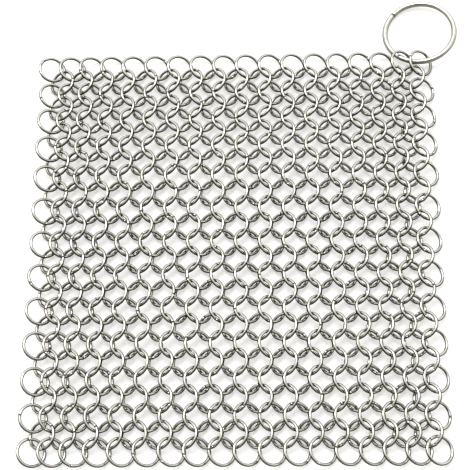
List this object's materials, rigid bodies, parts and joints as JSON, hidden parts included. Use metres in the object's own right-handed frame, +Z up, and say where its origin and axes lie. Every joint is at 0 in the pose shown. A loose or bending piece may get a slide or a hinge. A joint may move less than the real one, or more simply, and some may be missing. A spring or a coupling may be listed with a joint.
{
  "type": "chain mail pot scrubber",
  "caption": "Square chain mail cloth of linked steel wire rings for scrubbing pots, with a larger wire ring at one corner to hang it by.",
  "frame": {"origin": "on the table, under the middle of the whole scrubber's box, hanging ring included", "axes": "+Z up from the table, +X along the rows of rings, +Y towards the edge with the hanging ring"},
  "size_m": [0.1919, 0.2208, 0.0077],
  "materials": {
    "ring_wire": "bright drawn stainless steel wire",
    "hang_wire": "bright stainless steel wire, slightly rubbed"
  },
  "bodies": {
    "row_01": {"ring_row_01": "ring_wire", "corner_ring_inner": "ring_wire", "corner_ring_outer": "ring_wire"},
    "row_02": {"ring_row_02": "ring_wire"},
    "row_03": {"ring_row_03": "ring_wire"},
    "row_04": {"ring_row_04": "ring_wire"},
    "row_05": {"ring_row_05": "ring_wire"},
    "row_06": {"ring_row_06": "ring_wire"},
    "row_07": {"ring_row_07": "ring_wire"},
    "row_08": {"ring_row_08": "ring_wire"},
    "row_09": {"ring_row_09": "ring_wire"},
    "row_10": {"ring_row_10": "ring_wire"},
    "row_11": {"ring_row_11": "ring_wire"},
    "row_12": {"ring_row_12": "ring_wire"},
    "row_13": {"ring_row_13": "ring_wire"},
    "row_14": {"ring_row_14": "ring_wire"},
    "row_15": {"ring_row_15": "ring_wire"},
    "row_16": {"ring_row_16": "ring_wire"},
    "row_17": {"ring_row_17": "ring_wire"},
    "row_18": {"ring_row_18": "ring_wire"},
    "row_19": {"ring_row_19": "ring_wire"},
    "row_20": {"ring_row_20": "ring_wire"},
    "row_21": {"ring_row_21": "ring_wire"},
    "row_22": {"ring_row_22": "ring_wire"},
    "row_23": {"ring_row_23": "ring_wire"},
    "row_24": {"ring_row_24": "ring_wire"},
    "row_25": {"ring_row_25": "ring_wire"},
    "hanger": {"hang_ring": "hang_wire"}
  },
  "joints": [
    {"name": "fold_row_01", "type": "hinge", "parent": "row_02", "child": "row_01", "pos_m": [-0.00512, 0.07333, 0.00328], "axis": [1, 0, 0], "range_deg": [-8, 8]},
    {"name": "fold_row_02", "type": "hinge", "parent": "row_03", "child": "row_02", "pos_m": [-0.00512, 0.06643, 0.00343], "axis": [1, 0, 0], "range_deg": [-8, 8]},
    {"name": "fold_row_03", "type": "hinge", "parent": "row_04", "child": "row_03", "pos_m": [-0.00512, 0.05974, 0.00369], "axis": [1, 0, 0], "range_deg": [-8, 8]},
    {"name": "fold_row_04", "type": "hinge", "parent": "row_05", "child": "row_04", "pos_m": [-0.00512, 0.05304, 0.00399], "axis": [1, 0, 0], "range_deg": [-8, 8]},
    {"name": "fold_row_05", "type": "hinge", "parent": "row_06", "child": "row_05", "pos_m": [-0.00512, 0.04615, 0.00425], "axis": [1, 0, 0], "range_deg": [-8, 8]},
    {"name": "fold_row_06", "type": "hinge", "parent": "row_07", "child": "row_06", "pos_m": [-0.00512, 0.03906, 0.0044], "axis": [1, 0, 0], "range_deg": [-8, 8]},
    {"name": "fold_row_07", "type": "hinge", "parent": "row_08", "child": "row_07", "pos_m": [-0.00512, 0.03185, 0.0044], "axis": [1, 0, 0], "range_deg": [-8, 8]},
    {"name": "fold_row_08", "type": "hinge", "parent": "row_09", "child": "row_08", "pos_m": [-0.00512, 0.02453, 0.00425], "axis": [1, 0, 0], "range_deg": [-8, 8]},
    {"name": "fold_row_09", "type": "hinge", "parent": "row_10", "child": "row_09", "pos_m": [-0.00512, 0.01693, 0.00399], "axis": [1, 0, 0], "range_deg": [-8, 8]},
    {"name": "fold_row_10", "type": "hinge", "parent": "row_11", "child": "row_10", "pos_m": [-0.00512, 0.00905, 0.00369], "axis": [1, 0, 0], "range_deg": [-8, 8]},
    {"name": "fold_row_11", "type": "hinge", "parent": "row_12", "child": "row_11", "pos_m": [-0.00512, 0.00117, 0.00343], "axis": [1, 0, 0], "range_deg": [-8, 8]},
    {"name": "fold_row_12", "type": "hinge", "parent": "row_13", "child": "row_12", "pos_m": [-0.00512, -0.0067, 0.00328], "axis": [1, 0, 0], "range_deg": [-8, 8]},
    {"name": "fold_row_14", "type": "hinge", "parent": "row_13", "child": "row_14", "pos_m": [-0.00512, -0.01458, 0.00328], "axis": [-1, 0, 0], "range_deg": [-8, 8]},
    {"name": "fold_row_15", "type": "hinge", "parent": "row_14", "child": "row_15", "pos_m": [-0.00512, -0.02246, 0.00343], "axis": [-1, 0, 0], "range_deg": [-8, 8]},
    {"name": "fold_row_16", "type": "hinge", "parent": "row_15", "child": "row_16", "pos_m": [-0.00512, -0.03033, 0.00369], "axis": [-1, 0, 0], "range_deg": [-8, 8]},
    {"name": "fold_row_17", "type": "hinge", "parent": "row_16", "child": "row_17", "pos_m": [-0.00512, -0.03821, 0.00399], "axis": [-1, 0, 0], "range_deg": [-8, 8]},
    {"name": "fold_row_18", "type": "hinge", "parent": "row_17", "child": "row_18", "pos_m": [-0.00512, -0.04609, 0.00425], "axis": [-1, 0, 0], "range_deg": [-8, 8]},
    {"name": "fold_row_19", "type": "hinge", "parent": "row_18", "child": "row_19", "pos_m": [-0.00512, -0.05396, 0.0044], "axis": [-1, 0, 0], "range_deg": [-8, 8]},
    {"name": "fold_row_20", "type": "hinge", "parent": "row_19", "child": "row_20", "pos_m": [-0.00512, -0.06184, 0.0044], "axis": [-1, 0, 0], "range_deg": [-8, 8]},
    {"name": "fold_row_21", "type": "hinge", "parent": "row_20", "child": "row_21", "pos_m": [-0.00512, -0.06972, 0.00425], "axis": [-1, 0, 0], "range_deg": [-8, 8]},
    {"name": "fold_row_22", "type": "hinge", "parent": "row_21", "child": "row_22", "pos_m": [-0.00512, -0.07759, 0.00399], "axis": [-1, 0, 0], "range_deg": [-8, 8]},
    {"name": "fold_row_23", "type": "hinge", "parent": "row_22", "child": "row_23", "pos_m": [-0.00512, -0.08547, 0.00369], "axis": [-1, 0, 0], "range_deg": [-8, 8]},
    {"name": "fold_row_24", "type": "hinge", "parent": "row_23", "child": "row_24", "pos_m": [-0.00512, -0.09303, 0.00343], "axis": [-1, 0, 0], "range_deg": [-8, 8]},
    {"name": "fold_row_25", "type": "hinge", "parent": "row_24", "child": "row_25", "pos_m": [-0.00512, -0.10028, 0.00328], "axis": [-1, 0, 0], "range_deg": [-8, 8]},
    {"name": "hang_ring_swing", "type": "hinge", "parent": "row_01", "child": "hanger", "pos_m": [0.07784, 0.07773, 0.00434], "axis": [0.9466, -0.2081, 0.2462], "range_deg": [-90, 120]}
  ]
}
